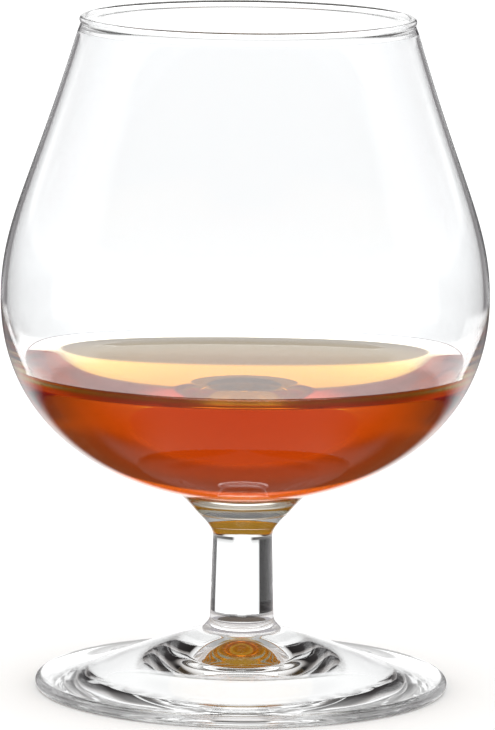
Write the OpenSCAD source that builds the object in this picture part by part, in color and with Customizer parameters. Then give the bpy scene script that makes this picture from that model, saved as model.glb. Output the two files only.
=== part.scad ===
// Brandy snifter on a short stem, part filled with brandy. Millimetres, +Z up.
// The origin is the middle of the foot's resting plane and the Z axis is the glass's own axis.

/* [Overall] */
// Height of the whole glass, table to the top of the rim
glass_height = 122; // [114:0.5:130]
// Widest outside diameter of the bowl
bowl_width = 88; // [80:0.5:96]
// Outside diameter of the mouth
rim_width = 60.4; // [54:0.2:68]
// Diameter of the foot
foot_width = 74.6; // [64:0.2:82]

/* [Bowl] */
// Height of the bowl's widest place above the table
belly_height = 71.2; // [66:0.2:76]
// Height above the table of the bowl's underside where it leaves the neck
underside_height = 36.3; // [34.5:0.1:38]
// Diameter at which the bowl's underside runs into the neck
underside_width = 26; // [22:0.5:30]
// Slope of the underside where it runs into the neck, degrees
underside_slope = 12.5; // [8:0.5:18]
// How far the side leans in under the rim, sideways for each unit of height
side_taper = 0.29; // [0.24:0.01:0.34]
// Share of the height from belly to rim in which the side keeps its lean
straight_share = 0.58; // [0.4:0.02:0.64]
// Share of the height from belly to rim in which the side stays near upright
belly_share = 0.28; // [0.2:0.01:0.34]
// Share of the height from belly to underside that stays near upright
waist_share = 0.575; // [0.45:0.005:0.65]
// Share of the bowl's half width over which the underside spreads
spread_share = 0.375; // [0.3:0.005:0.44]

/* [Glass wall] */
// Wall under the rim
rim_wall = 0.8; // [0.7:0.05:1.3]
// Wall at the belly
belly_wall = 1.1; // [0.8:0.05:1.6]
// Glass between the inside floor and the level of the underside's middle
floor_wall = 1.6; // [1.4:0.1:2.6]
// Share of the bowl's half width by which the inside floor spreads less than the underside
floor_tuck_share = 0.06; // [0.03:0.005:0.08]
// Share of the drop by which the inside stays upright less far than the outside
waist_tuck_share = 0.08; // [0.01:0.005:0.1]
// Thickness of the melted round bead on the rim
rim_bead = 1.35; // [1.3:0.05:1.6]

/* [Stem] */
// Height above the table of the weld between bowl and stem
neck_height = 32.2; // [31:0.1:33.5]
// Diameter of that weld
neck_width = 16.6; // [14.5:0.1:18.5]
// Slope of the outside at the weld, degrees from level
neck_slope = 48; // [40:1:56]
// Diameter of the stem where it is thinnest, under the neck
stem_top_width = 10.7; // [9:0.1:12]
// Height above the table of the thinnest place
stem_top_height = 27.8; // [25:0.1:28.6]
// Diameter of the stem just above its collar
stem_bottom_width = 11.5; // [10:0.1:12.6]
// Diameter of the collar that stands on the foot
collar_width = 14.2; // [13:0.1:15]
// Height of the collar, foot to the straight stem
collar_height = 2.6; // [1.6:0.1:3]
// Height of the collar's upright edge
collar_lip = 0.4; // [0.3:0.05:0.8]

/* [Foot] */
// Height of the foot in the middle, where the stem is welded on
foot_height = 10.5; // [8:0.1:12]
// Thickness of the foot's rounded edge
foot_edge = 2.2; // [1.8:0.1:3]
// Width of the flat step around the collar
foot_step = 0.3; // [0.2:0.05:0.8]
// Depth of the hollow under the foot, round its middle
hollow_depth = 3.8; // [2:0.1:5]
// How much deeper it is in the very middle, where it peaks
hollow_peak = 0.9; // [0.2:0.1:2]
// Width of the flat ring that the glass stands on
ring_width = 9; // [4:0.1:12]
// Diameter of the hollow's middle, between its sloping sides
plateau_width = 22; // [14:0.5:26]
// Share of the way from there to the ring that stays near level
level_share = 0.42; // [0.3:0.02:0.6]
// Share of the hollow that runs out at an even slope into the ring
ring_share = 0.18; // [0.1:0.01:0.4]
// Share of the foot's half width over which it stays thin
flat_share = 0.27; // [0.2:0.01:0.34]
// Share of the foot's half width over which it stays high
dome_share = 0.28; // [0.2:0.01:0.34]
// Share of the foot's height that it keeps at the inner end of its curve
crown_share = 0.78; // [0.7:0.01:0.86]

/* [Brandy] */
// Height of the brandy's level above the table
brandy_level = 57.3; // [50:0.1:62]
// Gap between brandy and glass
brandy_gap = 0.1; // [0.06:0.02:0.2]

/* [Hidden] */
// Straight pieces in each curve of an outline
curve_steps = 24;
edge_steps = 12;
bead_facets = 32;
$fn = 96;

// Handles of a curve are this share of its own reach
handle_share = 0.36;
// The same for the end that runs into the bowl's underside
run_share = 0.72;
// The same for the peak of the hollow under the foot
peak_share = 0.3;

bowl_radius = bowl_width / 2;
rim_radius = rim_width / 2;
foot_radius = foot_width / 2;
neck_radius = neck_width / 2;
collar_radius = collar_width / 2;
stem_top_radius = stem_top_width / 2;
stem_bottom_radius = stem_bottom_width / 2;
underside_radius = underside_width / 2;
bead_radius = rim_bead / 2;
edge_radius = foot_edge / 2;
plateau_radius = plateau_width / 2;

// The wall runs up the middle of the bead
bead_height = glass_height - bead_radius;
wall_radius = rim_radius - bead_radius;
upper_rise = bead_height - belly_height;
lower_drop = belly_height - underside_height;
inside_floor = underside_height - underside_radius * tan(underside_slope) / 2 + floor_wall;
floor_share = spread_share + underside_radius / bowl_radius - floor_tuck_share;

// A point of the cubic curve through the four control points p, at t from 0 to 1
function bezier_point(p, t) =
    (1 - t) ^ 3 * p[0] + 3 * t * (1 - t) ^ 2 * p[1] + 3 * t ^ 2 * (1 - t) * p[2] + t ^ 3 * p[3];

// The whole curve as a list of points, without its first one
function curve(p) = [for (i = [1 : curve_steps]) bezier_point(p, i / curve_steps)];

// A point at a distance and an angle from another one
function reach(from, distance, angle) = from + distance * [cos(angle), sin(angle)];

// Outer side of the bowl from the neck up to the belly
function underside_curve() =
    let(weld = [neck_radius, neck_height], run = [underside_radius, underside_height],
        size = handle_share * norm(run - weld))
    curve([weld, reach(weld, size, neck_slope),
        reach(run, -run_share * size, underside_slope), run]);

function lower_curve() =
    let(run = [underside_radius, underside_height])
    curve([run, reach(run, spread_share * bowl_radius, underside_slope),
        [bowl_radius, belly_height - waist_share * lower_drop], [bowl_radius, belly_height]]);

// One side of the wall from the belly up to the middle of the bead
function upper_curve(belly, top) =
    curve([[belly, belly_height], [belly, belly_height + belly_share * upper_rise],
        [top + side_taper * straight_share * upper_rise, bead_height - straight_share * upper_rise],
        [top, bead_height]]);

// Inside of the bowl from its floor up to the belly, drawn in by the given gap
function inside_lower(gap) =
    let(side = bowl_radius - belly_wall - gap, low = inside_floor + gap,
        drop = belly_height - low)
    concat([[0, low]], curve([[0, low], [floor_share * side, low],
        [side, belly_height - (waist_share - waist_tuck_share) * drop], [side, belly_height]]));

function backwards(list) = [for (i = [len(list) - 1 : -1 : 0]) list[i]];

module bowl() {
    color("#f4f8f8", 0.35) {
        rotate_extrude()
            polygon(concat(
                [[0, neck_height], [neck_radius, neck_height]],
                underside_curve(), lower_curve(),
                upper_curve(bowl_radius, wall_radius + rim_wall / 2),
                backwards(upper_curve(bowl_radius - belly_wall, wall_radius - rim_wall / 2)),
                backwards(inside_lower(0))));
        rotate_extrude() translate([wall_radius, bead_height]) circle(r = bead_radius, $fn = bead_facets);
    }
}

module stem() {
    weld = [neck_radius, neck_height];
    thin = [stem_top_radius, stem_top_height];
    low = [stem_bottom_radius, foot_height + collar_height];
    lip = [collar_radius, foot_height + collar_lip];
    rise = handle_share * (neck_height - stem_top_height);
    fall = handle_share * (collar_height - collar_lip);
    color("#f4f8f8", 0.35) rotate_extrude()
        polygon(concat(
            [[0, foot_height], [collar_radius, foot_height], lip],
            curve([lip, lip + [-fall, fall], low - [0, fall], low]),
            [thin],
            curve([thin, thin + [0, rise], reach(weld, -rise, neck_slope), weld]),
            [[0, neck_height]]));
}

module foot() {
    step_radius = collar_radius + foot_step;
    brim_radius = foot_radius - edge_radius;
    ring_radius = brim_radius - ring_width;
    // The hollow peaks in the middle, levels out around it and meets the ring at its own slope
    peak = [0, hollow_depth + hollow_peak];
    level = [plateau_radius, hollow_depth];
    hollow = concat([peak],
        curve([peak, peak + [peak_share * plateau_radius, 0],
            level - [(1 - 2 * peak_share) * plateau_radius, 0], level]),
        curve([level, level + [level_share * (ring_radius - plateau_radius), 0],
            [ring_radius * (1 - ring_share), hollow_depth * ring_share], [ring_radius, 0]]));
    edge = [for (i = [0 : edge_steps])
        reach([brim_radius, edge_radius], edge_radius, 180 * i / edge_steps - 90)];
    top = curve([[brim_radius, foot_edge], [brim_radius - flat_share * foot_radius, foot_edge],
        [step_radius + dome_share * foot_radius, crown_share * foot_height],
        [step_radius, foot_height]]);
    color("#f4f8f8", 0.35) rotate_extrude()
        polygon(concat(hollow, edge, top, [[0, foot_height]]));
}

module brandy() {
    color("#a4451c", 0.85) intersection() {
        rotate_extrude() polygon(concat(inside_lower(brandy_gap), [[0, belly_height]]));
        cylinder(r = bowl_radius, h = brandy_level);
    }
}

bowl();
stem();
foot();
brandy();
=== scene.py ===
import math

import bmesh
import bpy
from mathutils import Matrix, Vector
from mathutils.geometry import interpolate_bezier


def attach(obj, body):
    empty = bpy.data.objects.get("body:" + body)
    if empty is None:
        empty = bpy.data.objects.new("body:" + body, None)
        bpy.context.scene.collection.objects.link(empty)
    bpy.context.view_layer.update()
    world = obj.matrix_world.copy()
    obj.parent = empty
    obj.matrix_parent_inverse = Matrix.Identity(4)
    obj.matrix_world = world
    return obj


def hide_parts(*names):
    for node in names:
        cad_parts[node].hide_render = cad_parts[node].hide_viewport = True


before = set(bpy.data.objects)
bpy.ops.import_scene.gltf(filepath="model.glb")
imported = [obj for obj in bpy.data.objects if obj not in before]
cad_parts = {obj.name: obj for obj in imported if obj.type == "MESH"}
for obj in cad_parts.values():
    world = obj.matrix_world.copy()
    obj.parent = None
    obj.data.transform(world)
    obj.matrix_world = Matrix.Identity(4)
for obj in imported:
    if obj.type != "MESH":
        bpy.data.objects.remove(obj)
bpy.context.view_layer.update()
mm = 0.001
touch = 0.01  # mm, heights and radii closer than this count as the same
handleShare = 0.36  # a curve's handles are this share of its reach, on bowl and stem

# sockets of a Mix node that mixes colours
mixFactor, mixA, mixB, mixResult = 0, 6, 7, 2


# Small helpers

def linearColor(hexCode):
    parts = [int(hexCode[i:i + 2], 16) / 255 for i in (1, 3, 5)]
    return [p / 12.92 if p <= 0.04045 else ((p + 0.055) / 1.055) ** 2.4 for p in parts] + [1.0]


def addNode(tree, kind, links=None, **settings):
    # links: input name or number -> (node, output name or number)
    node = tree.nodes.new(kind)
    for key, value in settings.items():
        if hasattr(node, key):
            setattr(node, key, value)
        else:
            node.inputs[key.replace("_", " ")].default_value = value
    for key, (source, output) in (links or {}).items():
        tree.links.new(source.outputs[output], node.inputs[key])
    return node


def curveRun(start, startHandle, endHandle, end, steps):
    # points of one Bezier stretch of an outline as (radius, height), without the first one
    knots = [Vector((p[0], p[1], 0)) for p in (start, startHandle, endHandle, end)]
    return [(p.x, p.y) for p in interpolate_bezier(*knots, steps + 1)[1:]]


def stepFrom(point, distance, angle):
    turn = math.radians(angle)
    return (point[0] + distance * math.cos(turn), point[1] + distance * math.sin(turn))


def arcRun(center, radius, startAngle, endAngle, steps):
    # points of an arc, without the first one
    return [stepFrom(center, radius, startAngle + (endAngle - startAngle) * i / steps)
            for i in range(1, steps + 1)]


def spinOutline(name, outline, turns, materials, chooseSlot):
    # outline in millimetres, turned once round the Z axis
    # chooseSlot(radius, height, normal) picks a face's material
    mesh = bpy.data.meshes.new(name)
    shape = bmesh.new()
    points = [shape.verts.new((r * mm, 0, z * mm)) for r, z in outline]
    edges = [shape.edges.new(pair) for pair in zip(points, points[1:])]
    bmesh.ops.spin(shape, geom=points + edges, cent=(0, 0, 0), axis=(0, 0, 1), dvec=(0, 0, 0),
                   angle=math.tau, steps=turns, use_merge=True, use_duplicate=False)
    bmesh.ops.remove_doubles(shape, verts=shape.verts[:], dist=1e-6)
    bmesh.ops.recalc_face_normals(shape, faces=shape.faces[:])
    for face in shape.faces:
        face.smooth = True
        middle = face.calc_center_median()
        radius = math.hypot(middle.x, middle.y) / mm
        face.material_index = chooseSlot(radius, middle.z / mm, face.normal)
    shape.to_mesh(mesh)
    shape.free()
    piece = bpy.data.objects.new(name, mesh)
    bpy.context.scene.collection.objects.link(piece)
    for material in materials:
        mesh.materials.append(material)
    return piece


# Materials

glassLook = {
    "tint": "#FEFFFF",
    "ior": 1.52,  # soda-lime glass
    "waveSize": 22,  # mm between the slow waves that blowing and pressing leave
    "waveDepth": 0.004,  # mm
}
brandyLook = {
    "ior": 1.36,
    "tone": "#FADF4A",  # its own colour: what it takes away is the rest, times the density
    "density": 150.0,  # per metre
    "lowShadeTone": "#F4F3EE",  # painted shade: a darker tint that the drink's faces let through at the bottom; higher up it is clear
    "lowShadeFrom": 38,  # mm above the table, where that tone starts to fade
    "lowShadeTo": 57,
}


def clearGlass(name, ior):
    # pressed and blown soda-lime glass, fire polished: clear, hard gloss, with slow waves in the surface
    material = bpy.data.materials.new(name)
    material.use_nodes = True
    tree = material.node_tree
    tree.nodes.clear()
    coordinates = addNode(tree, "ShaderNodeTexCoord")
    waves = addNode(tree, "ShaderNodeTexNoise", {"Vector": (coordinates, "Object")},
                    Scale=1 / (glassLook["waveSize"] * mm), Detail=1.0, Roughness=0.4)
    bump = addNode(tree, "ShaderNodeBump", {"Height": (waves, "Fac")},
                   Strength=1.0, Distance=glassLook["waveDepth"] * mm)
    shader = addNode(tree, "ShaderNodeBsdfPrincipled", {"Normal": (bump, "Normal")},
                     Base_Color=linearColor(glassLook["tint"]), Roughness=0.0, IOR=ior,
                     Transmission_Weight=1.0)
    addNode(tree, "ShaderNodeOutputMaterial", {"Surface": (shader, "BSDF")})
    return material


def openPassage(name):
    # a face inside fused glass or brandy: nothing shows there, light goes straight on
    material = bpy.data.materials.new(name)
    material.use_nodes = True
    material.node_tree.nodes.clear()
    shader = addNode(material.node_tree, "ShaderNodeBsdfTransparent")
    addNode(material.node_tree, "ShaderNodeOutputMaterial", {"Surface": (shader, "BSDF")})
    return material


def brandyLiquid(name):
    # clear amber liquid: what it takes out of the light grows with depth, so it is redder where it is thick
    material = openPassage(name)
    tree = material.node_tree
    coordinates = addNode(tree, "ShaderNodeTexCoord")
    place = addNode(tree, "ShaderNodeSeparateXYZ", {"Vector": (coordinates, "Object")})
    height = addNode(tree, "ShaderNodeMapRange", {"Value": (place, "Z")},
                     From_Min=brandyLook["lowShadeFrom"] * mm, From_Max=brandyLook["lowShadeTo"] * mm)
    # painted shade: darker where the drink lies low in the bowl, fading to clear higher up
    skin = addNode(tree, "ShaderNodeMix", {mixFactor: (height, "Result")}, data_type="RGBA")
    skin.inputs[mixA].default_value = linearColor(brandyLook["lowShadeTone"])
    skin.inputs[mixB].default_value = (1, 1, 1, 1)
    tree.links.new(skin.outputs[mixResult], tree.nodes["Transparent BSDF"].inputs["Color"])
    absorb = addNode(tree, "ShaderNodeVolumeAbsorption",
                     Color=linearColor(brandyLook["tone"]), Density=brandyLook["density"])
    tree.links.new(absorb.outputs["Volume"], tree.nodes["Material Output"].inputs["Volume"])
    return material


def brandyTop(name):
    # the still surface of the liquid: flat, wet gloss that bends light as brandy does
    material = bpy.data.materials.new(name)
    material.use_nodes = True
    shader = material.node_tree.nodes["Principled BSDF"]
    shader.inputs["Base Color"].default_value = (1, 1, 1, 1)
    shader.inputs["Roughness"].default_value = 0.0
    shader.inputs["IOR"].default_value = brandyLook["ior"]
    shader.inputs["Transmission Weight"].default_value = 1.0
    return material


sodaLimeGlass = clearGlass("sodaLimeGlass", glassLook["ior"])
# where brandy wets the wall, light bends only by the ratio of the two
wettedGlass = clearGlass("sodaLimeGlassWetted", glassLook["ior"] / brandyLook["ior"])
fusedWeld = openPassage("fusedWeld")
amberBrandy = brandyLiquid("amberBrandy")
brandySurface = brandyTop("brandySurface")
brandyClear = openPassage("brandyClear")
print("materials made")


# Bowl: the same sizes as the part's source, in millimetres, with finer steps

bowlSizes = {
    "turns": 256,
    "bellyRadius": 44.0,
    "bellyHeight": 71.2,
    "rimRadius": 30.2,
    "rimTop": 122.0,
    "beadRadius": 0.675,
    "beadStart": -50,  # degrees, where the bead leaves the outer wall
    "beadEnd": 230,
    "beadSteps": 20,
    "rimWall": 0.8,
    "bellyWall": 1.1,
    "lean": 0.29,
    "straightShare": 0.58,
    "bellyShare": 0.28,
    "sideSteps": 40,
    "waistShare": 0.575,
    "spreadShare": 0.375,
    "lowerSteps": 56,
    "undersideRadius": 13.0,
    "undersideHeight": 36.3,
    "undersideSlope": 12.5,
    "runShare": 0.72,  # the handle's share where the neck runs into the underside
    "floorWall": 1.6,
    "floorTuckShare": 0.06,
    "waistTuckShare": 0.08,
    "insideSteps": 64,
    "neckRadius": 8.3,
    "neckHeight": 32.2,
    "neckSlope": 48,
    "neckSteps": 16,
    "weldMiddle": 4,  # radius of a ring in the flat weld, so that its faces aren't long slivers
}
brandySizes = {
    "turns": 192,
    "level": 57.3,
    "meniscusRise": 2.2,  # how far the level's edge climbs the wall
    "meniscusReach": 1.8,  # mm over which it falls to a third
    # mm in from the level's edge, closer together where it curves
    "levelPoints": (0, 0.15, 0.35, 0.6, 0.9, 1.3, 1.8, 2.4, 3.2, 4.2, 5.6, 8, 14, 24, 34),
    "overlap": 0.04,  # the body reaches this far into the wall, so that no air shows between
    "bottomReach": 30,  # radius at which the body no longer reaches down into the glass
    "lift": 0.01,  # the skin lies this far over the body
    "skin": 0.03,
}

bead = (bowlSizes["rimRadius"] - bowlSizes["beadRadius"], bowlSizes["rimTop"] - bowlSizes["beadRadius"])
wallRadius, beadHeight = bead
insideFloor = (bowlSizes["undersideHeight"]
               - bowlSizes["undersideRadius"] * math.tan(math.radians(bowlSizes["undersideSlope"])) / 2
               + bowlSizes["floorWall"])


def sideRun(belly, top):
    # one side of the wall, from the belly up to the middle of the bead, where the bead takes over
    b = bowlSizes
    rise = beadHeight - b["bellyHeight"]
    run = curveRun((belly, b["bellyHeight"]), (belly, b["bellyHeight"] + b["bellyShare"] * rise),
                   (top + b["lean"] * b["straightShare"] * rise, beadHeight - b["straightShare"] * rise),
                   (top, beadHeight), b["sideSteps"])
    return run[:-1]


def insideRun():
    # the inside of the bowl, from the middle of its floor up to the belly
    b = bowlSizes
    side = b["bellyRadius"] - b["bellyWall"]
    drop = b["bellyHeight"] - insideFloor
    floorShare = b["spreadShare"] + b["undersideRadius"] / b["bellyRadius"] - b["floorTuckShare"]
    waist = b["bellyHeight"] - (b["waistShare"] - b["waistTuckShare"]) * drop
    return [(0, insideFloor)] + curveRun((0, insideFloor), (floorShare * side, insideFloor),
                                         (side, waist), (side, b["bellyHeight"]), b["insideSteps"])


def cutAt(run, height):
    # the part of a rising run below a height, and its point on that height
    kept = [p for p in run if p[1] < height - touch]
    low, high = kept[-1], run[len(kept)]
    share = (height - low[1]) / (high[1] - low[1])
    return kept, (low[0] + share * (high[0] - low[0]), height)


insideLow = insideRun()
wettedHeight = brandySizes["level"] + brandySizes["meniscusRise"]
wettedPart, contactPoint = cutAt(insideLow, wettedHeight)


def makeBowl():
    b = bowlSizes
    middle = (b["weldMiddle"], b["neckHeight"])
    weld = (b["neckRadius"], b["neckHeight"])
    run = (b["undersideRadius"], b["undersideHeight"])
    belly = (b["bellyRadius"], b["bellyHeight"])
    handle = handleShare * math.dist(weld, run)
    drop = b["bellyHeight"] - b["undersideHeight"]
    outline = [(0, b["neckHeight"]), middle, weld]
    outline += curveRun(weld, stepFrom(weld, handle, b["neckSlope"]),
                        stepFrom(run, -b["runShare"] * handle, b["undersideSlope"]), run, b["neckSteps"])
    outline += curveRun(run, stepFrom(run, b["spreadShare"] * b["bellyRadius"], b["undersideSlope"]),
                        (b["bellyRadius"], b["bellyHeight"] - b["waistShare"] * drop), belly, b["lowerSteps"])
    outline += sideRun(b["bellyRadius"], wallRadius + b["rimWall"] / 2)
    outline += [stepFrom(bead, b["beadRadius"], b["beadStart"])]
    outline += arcRun(bead, b["beadRadius"], b["beadStart"], b["beadEnd"], b["beadSteps"])
    outline += reversed(sideRun(b["bellyRadius"] - b["bellyWall"], wallRadius - b["rimWall"] / 2))
    outline += [p for p in reversed(insideLow) if p[1] > wettedHeight + touch]
    outline += [contactPoint] + wettedPart[::-1]

    def chooseSlot(radius, height, normal):
        if abs(height - b["neckHeight"]) < touch:
            return 2
        return 1 if normal.z > 0 and height < wettedHeight else 0

    return spinOutline("bowlGlass", outline, b["turns"], [sodaLimeGlass, wettedGlass, fusedWeld], chooseSlot)


bowl = makeBowl()
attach(bowl, "glass")
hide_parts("bowl")
print("bowl made")


# Stem

stemSizes = {
    "turns": 192,
    "topRadius": 5.35,
    "topHeight": 27.8,
    "topSteps": 20,
    "bottomRadius": 5.75,
    "straightSteps": 6,
    "collarRadius": 7.1,
    "collarHeight": 2.6,
    "collarLip": 0.4,
    "collarSteps": 14,
    "footHeight": 10.5,
    "weldMiddle": 3.5,  # radius of a ring in the flat weld on the foot
}


def makeStem():
    s = stemSizes
    weld = (bowlSizes["neckRadius"], bowlSizes["neckHeight"])
    thin = (s["topRadius"], s["topHeight"])
    low = (s["bottomRadius"], s["footHeight"] + s["collarHeight"])
    lip = (s["collarRadius"], s["footHeight"] + s["collarLip"])
    rise = handleShare * (weld[1] - thin[1])
    fall = handleShare * (s["collarHeight"] - s["collarLip"])
    outline = [(0, s["footHeight"]), (s["weldMiddle"], s["footHeight"]), (lip[0], s["footHeight"]), lip]
    outline += curveRun(lip, (lip[0] - fall, lip[1] + fall), (low[0], low[1] - fall), low, s["collarSteps"])
    for i in range(1, s["straightSteps"] + 1):
        outline.append((low[0] + (thin[0] - low[0]) * i / s["straightSteps"],
                        low[1] + (thin[1] - low[1]) * i / s["straightSteps"]))
    outline += curveRun(thin, (thin[0], thin[1] + rise), stepFrom(weld, -rise, bowlSizes["neckSlope"]),
                        weld, s["topSteps"])
    outline += [(bowlSizes["weldMiddle"], weld[1]), (0, weld[1])]

    def chooseSlot(radius, height, normal):
        return 1 if abs(normal.z) > 0.99 else 0  # its two level faces are the welds

    return spinOutline("stemGlass", outline, s["turns"], [sodaLimeGlass, fusedWeld], chooseSlot)


stem = makeStem()
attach(stem, "glass")
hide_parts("stem")
print("stem made")


# Foot

footSizes = {
    "turns": 256,
    "radius": 37.3,
    "edge": 2.2,
    "edgeSteps": 14,
    "step": 0.3,
    "hollow": 3.8,
    "peak": 0.9,
    "peakShare": 0.3,  # of the plateau's radius, near level at the peak
    "plateauShare": 0.6,  # and where it turns level again
    "peakSteps": 24,
    "plateau": 11.0,
    "levelShare": 0.42,  # of the way from the plateau to the ring, near level
    "ringShare": 0.18,  # of the hollow's radius and depth, sloped at the ring
    "hollowSteps": 36,
    "ring": 9.0,
    "flatShare": 0.27,
    "domeShare": 0.28,
    "crownShare": 0.78,
    "topSteps": 44,
}


def makeFoot():
    f = footSizes
    top = stemSizes["footHeight"]
    stepRadius = stemSizes["collarRadius"] + f["step"]
    edgeRadius = f["edge"] / 2
    brim = f["radius"] - edgeRadius
    ring = brim - f["ring"]
    peak = (0, f["hollow"] + f["peak"])
    level = (f["plateau"], f["hollow"])
    outline = [peak]
    outline += curveRun(peak, (f["peakShare"] * f["plateau"], peak[1]),
                        (f["plateauShare"] * f["plateau"], f["hollow"]), level, f["peakSteps"])
    outline += curveRun(level, (f["plateau"] + (ring - f["plateau"]) * f["levelShare"], f["hollow"]),
                        (ring * (1 - f["ringShare"]), f["hollow"] * f["ringShare"]), (ring, 0),
                        f["hollowSteps"])
    outline += [(brim, 0)] + arcRun((brim, edgeRadius), edgeRadius, -90, 90, f["edgeSteps"])
    outline += curveRun((brim, f["edge"]), (brim - f["flatShare"] * f["radius"], f["edge"]),
                        (stepRadius + f["domeShare"] * f["radius"], f["crownShare"] * top),
                        (stepRadius, top), f["topSteps"])
    outline += [(stemSizes["collarRadius"], top), (stemSizes["weldMiddle"], top), (0, top)]

    def chooseSlot(radius, height, normal):
        return 1 if abs(height - top) < touch and radius < stemSizes["collarRadius"] else 0

    return spinOutline("footGlass", outline, f["turns"], [sodaLimeGlass, fusedWeld], chooseSlot)


foot = makeFoot()
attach(foot, "glass")
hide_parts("foot")
print("foot made")


# Brandy: a body that takes the light away, and the skin of its level

def levelRun(edgeRadius, lift):
    # the level from its climbing edge in to the axis
    s = brandySizes
    level = s["level"] + lift
    run = [(edgeRadius - d, level + s["meniscusRise"] * math.exp(-d / s["meniscusReach"]))
           for d in s["levelPoints"]]
    return run + [(0, level)]


def makeBrandyBody():
    s = brandySizes
    side = [(r + s["overlap"] * min(1, r), z - s["overlap"] * max(0, 1 - r / s["bottomReach"]))
            for r, z in wettedPart]
    outline = side + levelRun(contactPoint[0] + s["overlap"], 0)
    return spinOutline("brandyBody", outline, s["turns"], [amberBrandy], lambda radius, height, normal: 0)


def makeBrandySkin():
    s = brandySizes
    edge = contactPoint[0] + s["overlap"]
    outline = levelRun(edge, s["lift"])[::-1] + levelRun(edge, s["lift"] + s["skin"])

    def chooseSlot(radius, height, normal):
        return 0 if normal.z > 0 and radius <= edge - touch else 1

    return spinOutline("brandySkin", outline, s["turns"], [brandySurface, brandyClear], chooseSlot)


brandyBody = makeBrandyBody()
brandySkin = makeBrandySkin()
for piece in (brandyBody, brandySkin):
    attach(piece, "drink")
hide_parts("brandy")
print("brandy made")


# Studio

studio = {
    "cameraDistance": 1141.5,  # mm
    "cameraHeight": 236.5,
    "pitch": 8.84,  # degrees below level
    "roll": 0.65,  # degrees, for the lean of the glass in the picture
    "focalPixels": 6413,
    "shiftPixels": 3.0,
    "pictureHeight": 730,  # pixels
    "sensorHeight": 24,  # mm
    "nearest": 50,  # mm, what the camera sees
    "furthest": 20000,
    "floorSize": 8000,
    "glassBounces": 64,  # light crosses many walls before it leaves the glass
    "openBounces": 32,
}


def makeFloor():
    mesh = bpy.data.meshes.new("studioFloor")
    shape = bmesh.new()
    bmesh.ops.create_grid(shape, x_segments=2, y_segments=2, size=studio["floorSize"] * mm / 2)
    shape.to_mesh(mesh)
    shape.free()
    floor = bpy.data.objects.new("studioFloor", mesh)
    bpy.context.scene.collection.objects.link(floor)
    material = bpy.data.materials.new("paleFloor")
    material.use_nodes = True
    shader = material.node_tree.nodes["Principled BSDF"]
    shader.inputs["Base Color"].default_value = linearColor("#FFFFFF")
    shader.inputs["Roughness"].default_value = 1.0
    shader.inputs["Specular IOR Level"].default_value = 0.0
    mesh.materials.append(material)
    floor.visible_transmission = False
    floor.visible_glossy = False


def bothSides(name, nearer, further, *rest):
    # one board right of the object and its mirror image on the left
    return {name + "Right": (nearer, further, *rest), name + "Left": (-further, -nearer, *rest)}


# Light and dark boards round the object. They were fitted to the picture and aren't one studio that could be
# built: each kind of light path sees its own pattern of them, and the glass looks otherwise in another room.
# A board is, in degrees: from and to round the object, clockwise from straight behind it, from and to above
# level, softness of its sides and of its ends, and its tone. A later board lies over the earlier ones.
room = {
    "strength": 2.0,
    "plain": "#CFCFCF",  # what the camera and the floor see of it
    "onePieceCrossings": 2.5,  # light that crossed fewer surfaces has passed one solid piece
    "drinkCrossings": 0.5,  # light that crossed more open faces has passed the drink's body or a weld
}
# what the hollow bowl lets through
throughBowl = {
    "all": (-400, 400, -100, 100, 1, 1, "#C6C6C7"),
    "table": (-28, 28, -34, -15, 16, 2, "#FFFFFF"),
    **bothSides("edge", 16, 72, -11, 3, 16, 6, "#8C8A88"),
    **bothSides("far", 28, 74, 4, 60, 24, 6, "#7E7A78"),
    "above": (-200, 200, 34, 100, 1, 12, "#848484"),
    "below": (-200, 200, -46, -34, 1, 2, "#686664"),
    "under": (-200, 200, -100, -46, 1, 4, "#282626"),
}
# what the drink lets through
throughDrink = {
    "all": (-400, 400, -100, 100, 1, 1, "#B8B6B6"),
    "middle": (-60, 60, -30, 2, 20, 12, "#9A9694"),
    "lower": (-60, 60, -30, -8, 20, 6, "#8C8886"),
    "table": (-28, 28, -34, -15, 16, 2, "#FFFFFF"),
    **bothSides("edge", 16, 72, -11, 3, 16, 6, "#82807E"),
    **bothSides("far", 28, 74, 4, 60, 24, 6, "#747270"),
    **bothSides("front", 110, 200, -60, 60, 20, 10, "#9A9694"),
    "above": (-200, 200, 34, 100, 1, 12, "#848484"),
    "below": (-200, 200, -46, -34, 1, 2, "#807D80"),
    "under": (-200, 200, -100, -46, 1, 4, "#48423E"),
}
# what one solid piece lets through
throughSolid = {
    "all": (-400, 400, -100, 100, 1, 1, "#C8C8C8"),
    "table": (-28, 28, -24, -15, 16, 2, "#FFFFFF"),
    **bothSides("edge", 12, 76, -10, 3, 6, 3, "#3A3838"),
    **bothSides("far", 28, 74, 4, 60, 24, 6, "#7E7A78"),
    **bothSides("dark", 32, 80, 10, 50, 6, 6, "#161414"),
    "lowRight": (50, 92, -20, -9, 4, 4, "#080606"),
    "lowLeft": (-92, -25, -20, -9, 4, 2, "#080606"),
    **bothSides("front", 98, 200, -2, 60, 10, 6, "#1A1818"),
    **bothSides("frontLow", 98, 200, -70, -28, 10, 6, "#1A1818"),
    "above": (-200, 200, 34, 100, 1, 12, "#565656"),
    "below": (-200, 200, -46, -34, 1, 2, "#686664"),
    "near": (-20, 20, -47, -24, 10, 4, "#3A3836"),
    **bothSides("sink", 28, 90, -70, -33, 8, 4, "#2A2826"),
    "under": (-200, 200, -100, -46, 1, 4, "#282626"),
    "underMiddle": (-25, 25, -100, -46, 16, 4, "#545250"),
}
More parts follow.
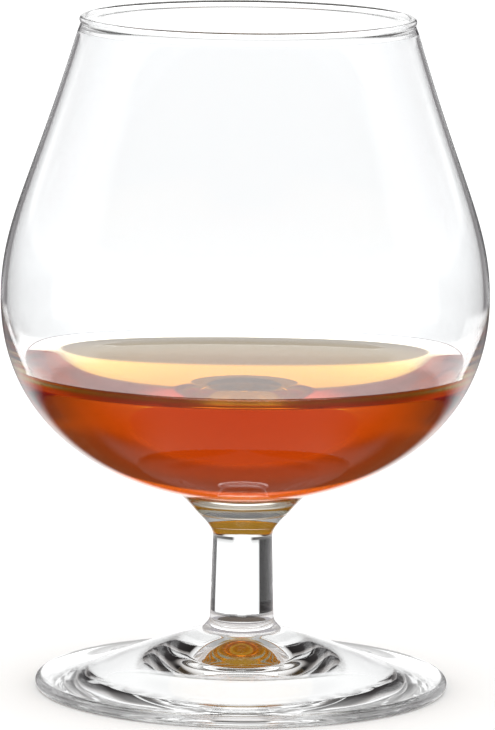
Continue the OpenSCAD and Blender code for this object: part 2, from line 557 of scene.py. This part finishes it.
# what the surfaces mirror
mirrored = {
    "all": (-400, 400, -100, 100, 1, 1, "#C8C8C8"),
    **bothSides("side", 6, 200, -13, 100, 6, 10, "#464446"),
    **bothSides("soft", 18, 200, -13, 100, 6, 10, "#8E8C8E"),
    "down": (-200, 200, -100, -24, 1, 8, "#2A2826"),
    "downMiddle": (-50, 50, -80, -47, 20, 8, "#6E6C6A"),
    "deep": (-200, 200, -100, -62, 1, 16, "#7E7C7A"),
    "up": (-400, 400, 34, 100, 1, 16, "#161412"),
    **bothSides("frontDown", 100, 200, -80, -11, 60, 20, "#7E7C7A"),
}


def boardShare(tree, around, height, board):
    # 1 on the board and 0 off it, with a soft change between
    left, right, low, high, sideSoft, endSoft = board
    limits = ((around, left, sideSoft, 0, 1), (around, right, sideSoft, 1, 0),
              (height, low, endSoft, 0, 1), (height, high, endSoft, 1, 0))
    share = None
    for source, at, soft, before, after in limits:
        step = addNode(tree, "ShaderNodeMapRange", {"Value": (source, 0)},
                       interpolation_type="SMOOTHSTEP", From_Min=math.radians(at - soft / 2),
                       From_Max=math.radians(at + soft / 2), To_Min=before, To_Max=after)
        if share is None:
            share = step
        else:
            share = addNode(tree, "ShaderNodeMath", {0: (share, 0), 1: (step, 0)}, operation="MULTIPLY")
    return share


def patternTone(tree, around, height, boards):
    # the tone that a pattern has in each direction; its first board covers them all
    tone = addNode(tree, "ShaderNodeMix", data_type="RGBA")
    tone.inputs[mixFactor].default_value = 0
    for *board, hexCode in boards.values():
        share = boardShare(tree, around, height, board)
        tone = addNode(tree, "ShaderNodeMix", {mixFactor: (share, 0), mixA: (tone, mixResult)},
                       data_type="RGBA")
        tone.inputs[mixB].default_value = linearColor(hexCode)
    return tone


def makeWorld():
    world = bpy.data.worlds.new("studioWorld")
    world.use_nodes = True
    tree = world.node_tree
    tree.nodes.clear()
    direction = addNode(tree, "ShaderNodeTexCoord")
    parts = addNode(tree, "ShaderNodeSeparateXYZ", {"Vector": (direction, "Generated")})
    around = addNode(tree, "ShaderNodeMath", {0: (parts, "X"), 1: (parts, "Y")}, operation="ARCTAN2")
    height = addNode(tree, "ShaderNodeMath", {0: (parts, "Z")}, operation="ARCSINE")
    hollow, solid, drink, mirror = [patternTone(tree, around, height, boards)
                                    for boards in (throughBowl, throughSolid, throughDrink, mirrored)]
    path = addNode(tree, "ShaderNodeLightPath")
    onePiece = addNode(tree, "ShaderNodeMath", {0: (path, "Transmission Depth")}, operation="LESS_THAN")
    onePiece.inputs[1].default_value = room["onePieceCrossings"]
    inDrink = addNode(tree, "ShaderNodeMath", {0: (path, "Transparent Depth")}, operation="GREATER_THAN")
    inDrink.inputs[1].default_value = room["drinkCrossings"]
    inGlass = addNode(tree, "ShaderNodeMath", {0: (path, "Is Glossy Ray"), 1: (path, "Is Transmission Ray")},
                      operation="MAXIMUM")
    passed = addNode(tree, "ShaderNodeMix", {mixFactor: (onePiece, 0), mixA: (hollow, mixResult),
                                             mixB: (solid, mixResult)}, data_type="RGBA")
    passed = addNode(tree, "ShaderNodeMix", {mixFactor: (inDrink, 0), mixA: (passed, mixResult),
                                             mixB: (drink, mixResult)}, data_type="RGBA")
    seen = addNode(tree, "ShaderNodeMix", {mixFactor: (path, "Is Transmission Ray"),
                                           mixA: (mirror, mixResult), mixB: (passed, mixResult)},
                   data_type="RGBA")
    color = addNode(tree, "ShaderNodeMix", {mixFactor: (inGlass, 0), mixB: (seen, mixResult)},
                    data_type="RGBA")
    color.inputs[mixA].default_value = linearColor(room["plain"])
    background = addNode(tree, "ShaderNodeBackground", {"Color": (color, mixResult)},
                         Strength=room["strength"])
    addNode(tree, "ShaderNodeOutputWorld", {"Surface": (background, "Background")})
    bpy.context.scene.world = world


def makeCamera():
    data = bpy.data.cameras.new("studioCamera")
    camera = bpy.data.objects.new("studioCamera", data)
    bpy.context.scene.collection.objects.link(camera)
    data.sensor_fit = "VERTICAL"
    data.sensor_height = studio["sensorHeight"]
    data.lens = studio["focalPixels"] / studio["pictureHeight"] * studio["sensorHeight"]
    data.shift_x = studio["shiftPixels"] / studio["pictureHeight"]
    data.clip_start = studio["nearest"] * mm
    data.clip_end = studio["furthest"] * mm
    place = Matrix.Translation((0, -studio["cameraDistance"] * mm, studio["cameraHeight"] * mm))
    tilt = Matrix.Rotation(math.radians(90 - studio["pitch"]), 4, "X")
    roll = Matrix.Rotation(math.radians(studio["roll"]), 4, "Z")
    camera.matrix_world = place @ tilt @ roll
    bpy.context.scene.camera = camera


makeFloor()
makeWorld()
makeCamera()
cycles = bpy.context.scene.cycles
cycles.max_bounces = studio["glassBounces"]
cycles.transmission_bounces = studio["glassBounces"]
cycles.glossy_bounces = studio["glassBounces"]
cycles.transparent_max_bounces = studio["openBounces"]
bpy.context.scene.view_settings.view_transform = "Standard"
print("studio made")
